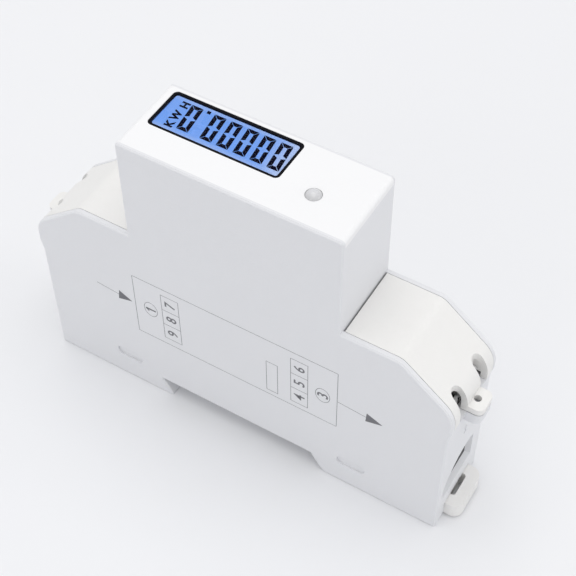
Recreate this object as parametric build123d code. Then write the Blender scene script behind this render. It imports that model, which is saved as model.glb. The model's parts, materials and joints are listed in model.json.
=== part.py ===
from build123d import *
from math import atan2, cos, tan
import os

# One module of a DIN rail energy meter, lying on its rail side with the display up.
# X runs along the meter, Y across the module from the near cover to the far wall, Z up.
# The origin is the centre of the base. All sizes are in millimetres.

# Outline of the case, seen from the side
module_width = 18.0
total_height = 71.7
hump_length = 45.7
end_length = 23.2
shoulder_height = 47.5
slope_run = 11.25
slope_drop = 9.25
brow = 0.55
brow_taper = 3.0
brow_round = 6.3
shoulder_round = 3.0
hump_round = 0.8
base_round = 0.6

# Rail notch in the base
rail_width = 35.0
rail_thickness = 1.0
rail_clearance = 0.3
rail_seat_height = 4.6
rail_centre = -0.75
lip_reach = 2.0
lip_tip_height = 0.4
flare_run = 2.9
flare_round = 1.5

# Walls of the two shells
wall = 1.5
near_cover_thickness = 1.1
cap_thickness = 1.6
cap_rim = 0.7
cap_lip_depth = 2.0
cap_lip_near = 0.7
cap_lip_far = 0.7
edge_break = 0.3
seam = 0.1
overcut = 1.0

# Terminal covers, the same moulding at both ends
cover_thickness = 1.3
hump_gap = 0.35
skirt_length = 4.7
notch_radius = 1.45
notch_reach = 2.95
notch_pitch = 8.15
notch_centre = -0.28
notch_rib = 1.0
tongue_width = 5.1
tongue_reach = 2.95
tongue_thickness = 1.4
tongue_round = 1.3
seal_hole_radius = 0.75
seal_hole_inset = 2.15
lug_gap = 0.3
lug_step = 0.5
lug_plate_thickness = 1.8
lug_boss_height = 1.6
cover_leg_width = 3.0
cover_leg_length = 6.0
cover_leg_place = 4.5

# Wire entry below each terminal
entry_width = 12.3
entry_centre = -1.05
entry_depth = 2.4
entry_rise = 3.4
entry_drop = 4.4
entry_arch_radius = 9.6
entry_arch_offset = 2.35
wire_hole_radius = 3.2
wire_hole_height = 12.8
terminal_centre = -0.2
entry_collar_length = 4.0

# Main terminals
terminal_inset = 14.5
screw_radius = 3.0
thread_clearance = 0.05
screw_head_radius = 3.9
screw_head_height = 4.0
screw_head_edge = 0.5
screw_head_gap = 0.5
slot_width = 1.2
slot_depth = 1.6
bar_width = 8.6
bar_thickness = 2.0
bar_clearance = 0.15
bar_overhang = 0.5
cage_width = 11.4
cage_length = 8.0
cage_wall = 1.4
cage_floor = 1.6
cage_roof = 3.0
cage_headroom = 3.9
cage_rise = 3.0
cage_edge = 0.8
shunt_length = 12.0
shunt_step = 0.3
sense_pin_half = 0.4
sense_pin_inset = 1.0

# Auxiliary terminals
aux_pitch = 3.85
aux_count = 3
aux_screw_inset = 4.4
aux_screw_radius = 1.0
aux_head_radius = 1.45
aux_head_height = 1.2
aux_head_gap = 0.1
aux_slot_width = 0.5
aux_slot_depth = 0.7
aux_contact_drop = 4.65
aux_contact_width = 1.8
aux_contact_thickness = 0.6
aux_nose_width = 3.1
aux_nose_height = 2.7
aux_contact_tail = 0.6
aux_cage_width = 3.0
aux_cage_length = 3.6
aux_cage_wall = 0.4
aux_cage_floor = 0.7
aux_cage_roof = 1.2
aux_cage_headroom = 1.6
aux_wire_space = 2.4
aux_cage_rise = 1.2
aux_block_length = 7.1
aux_block_height = 5.2
aux_divider = 0.55
shelf_thickness = 1.4

# Latch recesses moulded into the side faces
latch_length = 6.4
latch_width = 2.7
latch_depth = 0.45
latch_left = -26.7
latch_right = 26.3
latch_left_height = 7.6
latch_right_height = 7.4

# DIN clip and its channel
clip_width = 10.4
clip_top = 4.0
clip_foot = 0.4
clip_lip_height = 2.2
clip_lip_reach = 0.9
clip_clearance = 0.15
clip_tail = 3.3
clip_tail_round = 2.0
clip_hook_reach = 1.1
clip_hook_gap = 0.2
clip_hook_tip = 0.8
clip_hook_ramp = 1.6
clip_hook_rise = 0.6
clip_nose_run = 2.0
clip_slot_width = 1.25
clip_slot_length = 5.5
clip_slot_inset = 3.0
clip_arm_start = 3.0
clip_arm_width = 0.85
clip_arm_length = 12.0
clip_arm_slit = 0.7

# Display and pulse lamp in the front cap
display_end_margin = 1.85
display_side_margin = 0.655
display_length = 27.1
display_width = 9.65
display_round = 1.0
display_fit = 0.05
bezel_border = 0.55
bezel_inset = 0.05
bezel_thickness = 1.5
window_inset = 0.15
window_thickness = 1.0
panel_fit = 0.2
panel_thickness = 1.5
backlight_thickness = 2.2
lamp_offset = 1.375
lamp_y = -1.9
lamp_radius = 1.5
lamp_rise = 0.9
lamp_sink = 0.1
lamp_foot = 3.4
lamp_foot_height = 1.0

# Boards and the posts that carry them
board_thickness = 1.6
board_gap = 1.4
board_side_gap = 0.8
main_board_foot = 7.6
display_board_gap = 0.05
board_boss_inset = 7.3
board_boss_margin = 9.0
boss_half = 2.2
boss_clearance = 0.3
boss_sink = 0.5
peg_radius = 1.2
peg_length = 5.0
peg_fit = 0.05
peg_hole_spare = 0.5

# Components on the main board: place along X and share of the free height, then width, height and depth
film_capacitor_place = (-9.0, 0.241)
film_capacitor_size = (16.0, 12.0, 7.5)
film_capacitor_edge = 0.4
can_place = (9.5, 0.252)
can_radius = 3.15
can_length = 11.0
varistor_place = (13.0, 0.496)
varistor_radius = 4.0
varistor_depth = 3.4
metering_chip_place = (-2.0, 0.602)
metering_chip_size = (6.2, 10.0, 1.7)
microcontroller_place = (-12.0, 0.613)
microcontroller_size = (9.0, 9.0, 1.4)
coupler_places = [(8.0, 0.719), (14.0, 0.719)]
coupler_size = (4.4, 4.6, 2.2)
crystal_place = (-4.0, 0.814)
crystal_size = (10.0, 3.6, 3.2)
crystal_round = 1.6
inductor_place = (6.0, 0.485)
inductor_size = (6.0, 6.0, 5.0)
inductor_edge = 1.4
header_place = -6.0
header_length = 12.0
header_size = 2.5

# Sizes that follow from the ones above
half_hump = hump_length / 2
half_length = half_hump + end_length
end_wall = half_length - brow
half_width = module_width / 2
slope_foot_height = shoulder_height - slope_drop
near_split = -half_width + near_cover_thickness
far_inner = half_width - wall
cap_side = half_width - cap_rim
cap_foot = total_height - cap_thickness
slope_top = half_length - slope_run
slope_angle = atan2(slope_drop, slope_run)
rail_left = rail_centre - rail_width / 2 - rail_clearance
rail_right = rail_centre + rail_width / 2 + rail_clearance
rail_flange_foot = rail_seat_height - rail_thickness
centre_floor = rail_seat_height + wall
partition_inner = half_hump - wall
end_inner = end_wall - entry_depth - wall
ledge_inner = end_wall - wall
entry_foot_height = wire_hole_height - entry_drop
entry_top_height = wire_hole_height + entry_rise
cover_half_width = -near_split - seam
cover_start = half_hump + hump_gap
skirt_inner = half_length - cover_thickness
skirt_foot_height = slope_foot_height - skirt_length
brow_foot = skirt_foot_height - brow_taper
tongue_tip = half_length + tongue_reach
lug_top = skirt_foot_height - lug_gap
screw_place = end_wall - terminal_inset
bar_foot = wire_hole_height + wire_hole_radius + bar_clearance
bar_top = bar_foot + bar_thickness
bar_end = screw_place + cage_length / 2 + bar_overhang
bar_near = terminal_centre - bar_width / 2
bar_far = terminal_centre + bar_width / 2
aux_block_front = ledge_inner - seam
aux_block_back = aux_block_front - aux_block_length
aux_screw_place = aux_block_front - aux_screw_inset
aux_contact_height = slope_foot_height - aux_contact_drop
aux_contact_top = aux_contact_height + aux_contact_thickness
shelf_top = aux_contact_height - aux_wire_space - 2 * aux_cage_floor
aux_block_top = shelf_top + aux_block_height
clip_tip = end_wall + clip_tail
clip_start = rail_right + clip_nose_run
clip_channel_half = clip_width / 2 + clip_clearance
clip_mouth_half = clip_channel_half - clip_lip_reach
clip_ceiling = clip_top + clip_clearance
board_face = far_inner - board_gap - board_thickness
board_back = far_inner - board_gap
board_end = partition_inner - board_side_gap
display_end = -half_hump + display_end_margin + display_length
display_centre_x = display_end - display_length / 2
display_centre_y = cap_side - display_side_margin - display_width / 2
lamp_x = (display_end + half_hump) / 2 - lamp_offset
window_top = total_height - window_inset
panel_top = window_top - window_thickness
backlight_top = panel_top - panel_thickness
display_board_top = backlight_top - backlight_thickness
display_board_foot = display_board_top - board_thickness
free_height = display_board_foot - bar_top


def slab(face, y_low, y_high):
    """Extrude a face drawn in X and Z between two planes across the module."""
    plane = Plane(origin=(0, y_high, 0), x_dir=(1, 0, 0), z_dir=(0, -1, 0))
    return extrude(plane * face, amount=y_high - y_low)


def block(x_low, x_high, y_low, y_high, z_low, z_high):
    """A box given by its faces."""
    middle = ((x_low + x_high) / 2, (y_low + y_high) / 2, (z_low + z_high) / 2)
    return Pos(*middle) * Box(x_high - x_low, y_high - y_low, z_high - z_low)


def post(radius, z_low, z_high, x=0.0, y=0.0):
    """An upright cylinder."""
    return Pos(x, y, (z_low + z_high) / 2) * Cylinder(radius, z_high - z_low)


def bar_along_x(radius, x_low, x_high, y, z):
    """A cylinder along the meter."""
    return Pos((x_low + x_high) / 2, y, z) * Rot(0, 90, 0) * Cylinder(radius, x_high - x_low)


def bar_along_y(radius, y_low, y_high, x, z):
    """A cylinder across the module."""
    return Pos(x, (y_low + y_high) / 2, z) * Rot(90, 0, 0) * Cylinder(radius, y_high - y_low)


def polygon(points):
    """A flat face with straight sides."""
    return make_face(Polyline(*points, close=True))


def round_corners(face, corners, radius):
    """Round the named corners of a flat face."""
    picked = []
    for vertex in face.vertices():
        for x, z in corners:
            if abs(vertex.X - x) < 0.001 and abs(vertex.Y - z) < 0.001:
                picked.append(vertex)
    return fillet(picked, radius)


def mirrored(part):
    """The same piece mirrored to the left end."""
    return mirror(part, about=Plane.YZ)


def turned(part):
    """The same piece turned half a turn about the upright axis, for the left end."""
    return Rot(0, 0, 180) * part


def slope_height(x, depth=0.0):
    """Height of the slope at x, sunk square to its surface by depth."""
    return shoulder_height - (x - slope_top) * tan(slope_angle) - depth / cos(slope_angle)


def slope_start(depth):
    """Where a slope sunk by depth meets a shoulder sunk by the same depth."""
    return slope_top - (depth / cos(slope_angle) - depth) / tan(slope_angle)


def case_outline():
    """The side view of the case: base with the rail notch, slopes, shoulders and hump."""
    flare_foot = (rail_right + flare_run, 0)
    shoulders = [(slope_top, shoulder_height), (-slope_top, shoulder_height)]
    feet = [(half_length, slope_foot_height), (-half_length, slope_foot_height)]
    crown = [(half_hump, total_height), (-half_hump, total_height)]
    base = [(end_wall, 0), (-end_wall, 0)]
    face = polygon([
        base[1],
        (rail_left + lip_reach, 0),
        (rail_left + lip_reach, lip_tip_height),
        (rail_left, rail_flange_foot + rail_clearance),
        (rail_left, rail_seat_height),
        (rail_right, rail_seat_height),
        (rail_right + rail_clearance, rail_flange_foot + rail_clearance),
        flare_foot,
        base[0],
        (end_wall, brow_foot),
        (half_length, skirt_foot_height),
        feet[0],
        shoulders[0],
        (half_hump, shoulder_height),
        crown[0],
        crown[1],
        (-half_hump, shoulder_height),
        shoulders[1],
        feet[1],
        (-half_length, skirt_foot_height),
        (-end_wall, brow_foot),
    ])
    face = round_corners(face, shoulders, shoulder_round)
    face = round_corners(face, feet, brow_round)
    face = round_corners(face, crown, hump_round)
    face = round_corners(face, base, base_round)
    return round_corners(face, [flare_foot], flare_round)


def latch_recesses(y_low, y_high):
    """Two shallow round-ended recesses in a side face."""
    spots = [(latch_left, latch_left_height), (latch_right, latch_right_height)]
    recesses = []
    for x, z in spots:
        slot = Pos(x, z) * SlotOverall(latch_length, latch_width)
        recesses.append(slab(slot, y_low, y_high))
    return recesses


def peg_places():
    """Where the near cover's pegs enter the far body."""
    reach = boss_half - boss_sink
    low = centre_floor + reach
    high = display_board_foot - 2 * boss_half
    below_shelf = shelf_top - shelf_thickness - reach
    side = partition_inner - reach
    end = end_inner - reach
    return [(side, high), (-side, high), (side, low), (-side, low), (end, below_shelf), (-end, below_shelf)]


def boss(place, half, y_low, y_high):
    """A square boss across the module."""
    x, z = place
    return block(x - half, x + half, y_low, y_high, z - half, z + half)


def board_bosses():
    """Where the main board rests on the far wall."""
    side = partition_inner - board_boss_inset
    low = main_board_foot + board_boss_margin
    high = display_board_foot - board_boss_margin
    return [(side, low), (-side, low), (side, high), (-side, high)]


def near_case_cover():
    """Thin side shell with six pegs, latch recesses and a rabbet for the front cap."""
    cover = slab(case_outline(), -half_width, near_split)
    rim = cover.faces().sort_by(Axis.Y)[0].outer_wire().edges()
    cover = chamfer(rim, edge_break)
    cover -= block(-half_length, half_length, -cap_side, near_split, cap_foot, total_height + overcut)
    for recess in latch_recesses(-half_width, -half_width + latch_depth):
        cover -= recess
    for x, z in peg_places():
        cover += bar_along_y(peg_radius, near_split, near_split + peg_length, x, z)
    return cover


def cover_inner_corner():
    """Where the inside of the slope meets the inside of the skirt."""
    return (skirt_inner, slope_height(skirt_inner, cover_thickness))


def cover_face():
    """Side view of a terminal cover: shoulder, slope and skirt of one thickness."""
    shoulder = (slope_top, shoulder_height)
    corner = (half_length, slope_foot_height)
    face = polygon([
        (cover_start, shoulder_height),
        shoulder,
        corner,
        (half_length, skirt_foot_height),
        (skirt_inner, skirt_foot_height),
        cover_inner_corner(),
        (slope_start(cover_thickness), shoulder_height - cover_thickness),
        (cover_start, shoulder_height - cover_thickness),
    ])
    face = round_corners(face, [shoulder], shoulder_round)
    face = round_corners(face, [corner], brow_round)
    return round_corners(face, [cover_inner_corner()], brow_round - cover_thickness)


def end_hollow(floor):
    """The open terminal space at the right end, down to a floor height."""
    face = polygon([
        (half_hump, floor),
        (end_inner, floor),
        (end_inner, entry_top_height + wall),
        (ledge_inner, entry_top_height + 2 * wall),
        (ledge_inner, skirt_foot_height - seam),
        (skirt_inner, skirt_foot_height - seam),
        cover_inner_corner(),
        (slope_start(cover_thickness), shoulder_height - cover_thickness),
        (half_hump, shoulder_height - cover_thickness),
    ])
    face = round_corners(face, [cover_inner_corner()], brow_round - cover_thickness)
    return slab(face, near_split, far_inner)


def cover_seat():
    """What the case leaves open for the right terminal cover."""
    face = polygon([
        (half_hump, shoulder_height - cover_thickness),
        (half_hump, shoulder_height + overcut),
        (half_length + overcut, shoulder_height + overcut),
        (half_length + overcut, skirt_foot_height - seam),
        (skirt_inner, skirt_foot_height - seam),
        cover_inner_corner(),
        (slope_start(cover_thickness), shoulder_height - cover_thickness),
    ])
    face = round_corners(face, [cover_inner_corner()], brow_round - cover_thickness)
    return slab(face, near_split, cover_half_width + seam)


def wire_entry():
    """Arched recess in the right end wall, with the round wire hole behind it."""
    back = end_wall - entry_depth
    hole_start = end_inner - entry_collar_length - overcut
    window = Rectangle(entry_width, entry_top_height - entry_foot_height)
    window = Pos(entry_centre, (entry_top_height + entry_foot_height) / 2) * window
    arch = Pos(entry_centre + entry_arch_offset, entry_top_height - entry_arch_radius)
    window &= arch * Circle(entry_arch_radius)
    plane = Plane(origin=(back, 0, 0), x_dir=(0, 1, 0), z_dir=(1, 0, 0))
    recess = extrude(plane * window, amount=entry_depth + overcut)
    hole = bar_along_x(wire_hole_radius, hole_start, end_wall, terminal_centre, wire_hole_height)
    return recess + hole


def entry_collar():
    """Ring that guides the wire into the cage."""
    outer = wire_hole_radius + wall / 2
    return bar_along_x(outer, end_inner - entry_collar_length, end_inner, terminal_centre, wire_hole_height)


def clip_channel():
    """Stepped channel in the right half of the base for the DIN clip."""
    start = rail_right - overcut
    end = end_wall + overcut
    wide = block(start, end, -clip_channel_half, clip_channel_half, clip_lip_height, clip_ceiling)
    narrow = block(start, end, -clip_mouth_half, clip_mouth_half, -overcut, clip_lip_height)
    return wide + narrow


def seal_outline(root, step):
    """Top view of the seal tongue or lug from its root to the rounded tip, set in by a step."""
    half = tongue_width / 2 - step
    tip = tongue_tip - step
    face = Pos((root + tip) / 2, notch_centre) * Rectangle(tip - root, 2 * half)
    corners = [v for v in face.vertices() if v.X > (root + tip) / 2]
    return fillet(corners, tongue_round)


def seal_hole():
    """The hole that the seal wire goes through."""
    return post(seal_hole_radius, 0, total_height, tongue_tip - seal_hole_inset, notch_centre)


def seal_lug():
    """Lug on the case end wall: a plate below the tongue on a narrower boss."""
    plate_foot = lug_top - lug_plate_thickness
    boss_foot = plate_foot - lug_boss_height
    plate = Pos(0, 0, plate_foot) * extrude(seal_outline(end_wall - seam, 0), amount=lug_plate_thickness)
    stem = Pos(0, 0, boss_foot) * extrude(seal_outline(end_wall - seam, lug_step), amount=lug_boss_height)
    return plate + stem


def aux_places():
    """Y of each auxiliary terminal at the right end."""
    middle = (aux_count - 1) / 2
    return [notch_centre + (index - middle) * aux_pitch for index in range(aux_count)]


def aux_shelf():
    """Shelf below the auxiliary terminals at the right end, from wall to wall."""
    start = aux_block_back - aux_divider
    return block(start, ledge_inner, near_split, far_inner, shelf_top - shelf_thickness, shelf_top)


def bar_window():
    """Window through the partition for the current bar."""
    return block(partition_inner - overcut, half_hump + overcut, bar_near, bar_far, bar_foot, bar_top)


def far_case_body():
    """Deep shell: far wall, end walls, partitions, rail lip, clip channel and seal lugs."""
    body = slab(case_outline(), near_split, half_width)
    rim = body.faces().sort_by(Axis.Y)[-1].outer_wire().edges()
    body = chamfer(rim, edge_break)
    above = total_height + overcut
    body -= block(-partition_inner, partition_inner, near_split, far_inner, centre_floor, above)
    body -= block(-half_length, half_length, near_split, cap_side, cap_foot, above)
    body -= end_hollow(clip_ceiling + wall) + cover_seat()
    body -= mirrored(end_hollow(wall) + cover_seat())
    fittings = aux_shelf() + entry_collar()
    body += fittings + seal_lug()
    body += mirrored(fittings) + turned(seal_lug())
    for opening in (wire_entry(), bar_window()):
        body -= opening
        body -= mirrored(opening)
    body -= seal_hole()
    body -= turned(seal_hole())
    body -= clip_channel()
    for recess in latch_recesses(half_width - latch_depth, half_width):
        body -= recess
    hole_depth = peg_length + peg_hole_spare
    for x, z in peg_places():
        body += boss((x, z), boss_half, near_split, far_inner)
        body -= bar_along_y(peg_radius + peg_fit, near_split, near_split + hole_depth, x, z)
    for place in board_bosses():
        body += boss(place, boss_half, board_back, far_inner)
    return body


def display_plate(margin, z_low, z_high):
    """A plate of the display stack, set in from the cut-out's edge by a margin."""
    corner = max(display_round - margin, display_round / 2)
    face = RectangleRounded(display_length - 2 * margin, display_width - 2 * margin, corner)
    return Pos(display_centre_x, display_centre_y, z_low) * extrude(face, amount=z_high - z_low)


def front_cap():
    """Cap on the hump with a locating lip, the display cut-out and the lens hole."""
    cap = block(-half_hump, half_hump, -cap_side, cap_side, cap_foot, total_height)
    ends = [e for e in cap.edges().filter_by(Axis.Y) if e.center().Z > cap_foot + seam]
    cap = fillet(ends, hump_round)
    lip_end = partition_inner - seam
    lip_near = near_split + seam
    lip_far = far_inner - seam
    lip_foot = cap_foot - cap_lip_depth
    lip = block(-lip_end, lip_end, lip_near, lip_far, lip_foot, cap_foot)
    lip -= block(
        -lip_end + wall, lip_end - wall,
        lip_near + cap_lip_near, lip_far - cap_lip_far,
        lip_foot, cap_foot,
    )
    cap += lip
    cap -= display_plate(0, lip_foot, total_height + overcut)
    return cap - post(lamp_radius + display_fit, lip_foot, total_height + overcut, lamp_x, lamp_y)


def display_bezel():
    """Black frame in the cap's cut-out."""
    top = total_height - bezel_inset
    frame = display_plate(display_fit, top - bezel_thickness, top)
    return frame - display_plate(bezel_border, cap_foot - overcut, top + overcut)


def display_window():
    """Clear window inside the bezel."""
    return display_plate(bezel_border + display_fit, panel_top, window_top)


def panel_block(z_low, z_high):
    """A square-cornered block of the display stack, clear of the bezel."""
    length = display_length - 2 * (bezel_border + panel_fit)
    width = display_width - 2 * (bezel_border + panel_fit)
    middle = (display_centre_x, display_centre_y, (z_low + z_high) / 2)
    return Pos(*middle) * Box(length, width, z_high - z_low)


def lcd_panel():
    """Liquid crystal glass below the window."""
    return panel_block(backlight_top, panel_top)


def lcd_backlight():
    """Light guide block below the glass, down to the display board."""
    return panel_block(display_board_top, backlight_top)


def display_board():
    """Board across the hump that carries the glass, its light and the pulse lamp."""
    near = near_split + board_side_gap
    far = board_face - display_board_gap
    return block(-board_end, board_end, near, far, display_board_foot, display_board_top)


def pulse_lamp():
    """Lamp with a domed lens that stands on the display board and shows through the cap."""
    dome_foot = total_height - lamp_sink
    half = lamp_foot / 2
    foot_top = display_board_top + lamp_foot_height
    body = post(lamp_radius, display_board_top, dome_foot, lamp_x, lamp_y)
    body += block(
        lamp_x - half, lamp_x + half,
        lamp_y - half, lamp_y + half,
        display_board_top, foot_top,
    )
    ball_radius = (lamp_radius ** 2 + lamp_rise ** 2) / (2 * lamp_rise)
    ball = Pos(lamp_x, lamp_y, dome_foot + lamp_rise - ball_radius) * Sphere(ball_radius)
    return body + (ball & post(lamp_radius, dome_foot, dome_foot + lamp_rise, lamp_x, lamp_y))


def main_board():
    """Upright board along the far wall, notched round the peg bosses."""
    board = block(-board_end, board_end, board_face, board_back, main_board_foot, display_board_top)
    for place in peg_places():
        board -= boss(place, boss_half + boss_clearance, board_face - overcut, board_back + overcut)
    return board


def board_height(share):
    """Height of a component's middle, as a share of the space between bar and display board."""
    return bar_top + share * free_height


def on_board(place, size):
    """A squared component on the main board."""
    x = place[0]
    z = board_height(place[1])
    width, height, depth = size
    return block(
        x - width / 2, x + width / 2,
        board_face - depth, board_face,
        z - height / 2, z + height / 2,
    )


def disc_on_board(place, radius, depth):
    """A round component that stands on the main board."""
    x, share = place
    return bar_along_y(radius, board_face - depth, board_face, x, board_height(share))


def board_header():
    """Angled pin strip that joins the two boards."""
    half = header_length / 2
    near = board_face - header_size
    foot = display_board_foot - header_size
    return block(header_place - half, header_place + half, near, board_face, foot, display_board_foot)


def film_capacitor():
    """Boxed mains capacitor."""
    return chamfer(on_board(film_capacitor_place, film_capacitor_size).edges(), film_capacitor_edge)


def electrolytic_capacitor():
    """Can capacitor lying along the board."""
    x, share = can_place
    half = can_length / 2
    return bar_along_x(can_radius, x - half, x + half, board_face - can_radius, board_height(share))


def varistor():
    """Round disc across the supply."""
    return disc_on_board(varistor_place, varistor_radius, varistor_depth)


def metering_chip():
    """Small-outline chip."""
    return on_board(metering_chip_place, metering_chip_size)


def microcontroller():
    """Square flat pack."""
    return on_board(microcontroller_place, microcontroller_size)


def optocouplers():
    """Two couplers side by side for the pulse and bus lines."""
    return Compound(children=[on_board(place, coupler_size) for place in coupler_places])


def crystal():
    """Flat metal can."""
    can = on_board(crystal_place, crystal_size)
    return fillet(can.edges().filter_by(Axis.Y), crystal_round)


def supply_inductor():
    """Moulded square inductor of the supply, with cut corners."""
    body = on_board(inductor_place, inductor_size)
    return chamfer(body.edges().filter_by(Axis.Y), inductor_edge)


def current_bar():
    """Right bar from the cage to the shunt."""
    return block(shunt_length / 2, bar_end, bar_near, bar_far, bar_foot, bar_top)


def current_shunt():
    """Resistance strip between the two bars."""
    half = shunt_length / 2
    return block(-half, half, bar_near, bar_far, bar_foot + shunt_step, bar_top - shunt_step)


def sense_pins():
    """Two pins from the shunt's ends to the main board."""
    z = (bar_foot + bar_top) / 2
    x = shunt_length / 2 - sense_pin_inset
    half = sense_pin_half
    left = block(-x - half, -x + half, bar_far, board_face, z - half, z + half)
    return Compound(children=[left, mirrored(left)])


def terminal_screw():
    """Slotted clamp screw of the right main terminal, its tip on the current bar."""
    shank_top = bar_top + cage_headroom + cage_roof + cage_rise + screw_head_gap
    head_top = shank_top + screw_head_height
    screw = post(screw_radius, bar_top, shank_top, screw_place, terminal_centre)
    head = post(screw_head_radius, shank_top, head_top, screw_place, terminal_centre)
    head = chamfer(head.edges().sort_by(Axis.Z)[-1], screw_head_edge)
    half = slot_width / 2
    reach = screw_head_radius + overcut
    slot = block(
        screw_place - reach, screw_place + reach,
        terminal_centre - half, terminal_centre + half,
        head_top - slot_depth, head_top + overcut,
    )
    return screw + head - slot


def terminal_cage():
    """Rising cage of the right main terminal, open along the wire."""
    x_low = screw_place - cage_length / 2
    x_high = screw_place + cage_length / 2
    half = cage_width / 2
    inner = half - cage_wall
    floor_top = wire_hole_height - wire_hole_radius
    roof_foot = bar_top + cage_headroom
    roof_top = roof_foot + cage_roof
    y = terminal_centre
    cage = block(x_low, x_high, y - half, y + half, floor_top - cage_floor, roof_top)
    cage = chamfer(cage.edges().filter_by(Axis.X), cage_edge)
    cage -= block(x_low - overcut, x_high + overcut, y - inner, y + inner, floor_top, roof_foot)
    return cage - post(screw_radius + thread_clearance, floor_top, roof_top + overcut, screw_place, y)


def aux_block():
    """Insulating comb that holds the three auxiliary terminals at the right end."""
    y_places = aux_places()
    y_low = y_places[0] - aux_pitch / 2 - aux_divider / 2
    y_high = y_places[-1] + aux_pitch / 2 + aux_divider / 2
    comb = block(aux_block_back, aux_block_front, y_low, y_high, shelf_top, aux_block_top)
    bay_half = (aux_pitch - aux_divider) / 2
    above = aux_block_top + overcut
    for y in y_places:
        comb -= block(
            aux_block_back + aux_divider, aux_block_front + overcut,
            y - bay_half, y + bay_half,
            shelf_top + aux_cage_floor, above,
        )
        comb -= block(
            aux_block_back - overcut, aux_block_front,
            y - aux_contact_width / 2, y + aux_contact_width / 2,
            aux_contact_height, above,
        )
    return comb


def aux_contact(y):
    """Fixed contact strip with an upturned nose that guides the wire below it."""
    half = aux_contact_width / 2
    nose_half = aux_nose_width / 2
    tail = aux_block_back - aux_contact_tail
    nose_back = aux_block_front - aux_contact_thickness
    nose_top = aux_contact_height + aux_nose_height
    strip = block(tail, aux_block_front, y - half, y + half, aux_contact_height, aux_contact_top)
    nose = block(nose_back, aux_block_front, y - nose_half, y + nose_half, aux_contact_height, nose_top)
    return strip + nose


def aux_contacts():
    """The three contacts of the right end."""
    return Compound(children=[aux_contact(y) for y in aux_places()])


def aux_screw(y):
    """Small slotted screw of one auxiliary terminal."""
    shank_top = aux_contact_top + aux_cage_headroom + aux_cage_roof + aux_cage_rise + aux_head_gap
    head_top = shank_top + aux_head_height
    screw = post(aux_screw_radius, aux_contact_top, shank_top, aux_screw_place, y)
    screw += post(aux_head_radius, shank_top, head_top, aux_screw_place, y)
    half = aux_slot_width / 2
    reach = aux_head_radius + overcut
    return screw - block(
        aux_screw_place - reach, aux_screw_place + reach,
        y - half, y + half,
        head_top - aux_slot_depth, head_top + overcut,
    )


def aux_cage(y):
    """Small rising cage of one auxiliary terminal."""
    x_low = aux_screw_place - aux_cage_length / 2
    x_high = aux_screw_place + aux_cage_length / 2
    half = aux_cage_width / 2
    inner = half - aux_cage_wall
    floor_foot = shelf_top + aux_cage_floor
    floor_top = floor_foot + aux_cage_floor
    roof_foot = aux_contact_top + aux_cage_headroom
    roof_top = roof_foot + aux_cage_roof
    cage = block(x_low, x_high, y - half, y + half, floor_foot, roof_top)
    cage -= block(x_low - overcut, x_high + overcut, y - inner, y + inner, floor_top, roof_foot)
    return cage - post(aux_screw_radius + thread_clearance, floor_top, roof_top + overcut, aux_screw_place, y)


def cover_rib(start, end, y_low, y_high):
    """Rib from just above the terminal block up into the slope of the right cover."""
    depth = cover_thickness / 2
    foot = aux_block_top + seam
    face = polygon([
        (start, foot),
        (end, foot),
        (end, slope_height(end, depth)),
        (start, slope_height(start, depth)),
    ])
    return slab(face, y_low, y_high)


def cover_leg(y):
    """Leg inside the cover that steadies it against the hump's end wall."""
    top = shoulder_height - cover_thickness
    return block(
        cover_start, cover_start + cover_thickness,
        y - cover_leg_width / 2, y + cover_leg_width / 2,
        top - cover_leg_length, top,
    )


def terminal_cover():
    """Right cover: shoulder, slope and skirt with two notches, ribs, legs and the seal tongue."""
    cover = slab(cover_face(), -cover_half_width, cover_half_width)
    for side in (-1, 1):
        cover += cover_leg(side * cover_leg_place)
    near_notch = notch_centre - notch_pitch / 2
    far_notch = notch_centre + notch_pitch / 2
    notch_start = half_length - notch_reach
    back_start = notch_start - notch_rib
    rib_end = skirt_inner + seam
    side_y = far_notch + notch_radius
    cover += cover_rib(back_start, rib_end, side_y, side_y + notch_rib)
    cover += cover_rib(back_start, notch_start, far_notch - notch_radius, far_notch + notch_radius)
    groove_x = notch_start + notch_radius
    groove_foot = skirt_foot_height - overcut
    for y in (near_notch, far_notch):
        cover -= post(notch_radius, groove_foot, shoulder_height, groove_x, y)
        cover -= block(
            groove_x, half_length + overcut,
            y - notch_radius, y + notch_radius,
            groove_foot, shoulder_height,
        )
    root = half_length - seam
    tongue = Pos(0, 0, skirt_foot_height) * extrude(seal_outline(root, 0), amount=tongue_thickness)
    return cover + tongue - seal_hole()


def clip_hook():
    """Nose of the DIN clip, with the ramp that rides over the rail's edge."""
    nose = rail_right - clip_hook_reach
    hook_top = rail_flange_foot - clip_hook_gap
    face = polygon([
        (nose, hook_top),
        (nose, hook_top - clip_hook_tip),
        (nose + clip_hook_ramp, clip_foot),
        (clip_start, clip_foot),
        (clip_start, clip_top),
        (clip_start - clip_hook_rise, hook_top),
    ])
    half = clip_mouth_half - clip_clearance
    return slab(face, -half, half)


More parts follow.
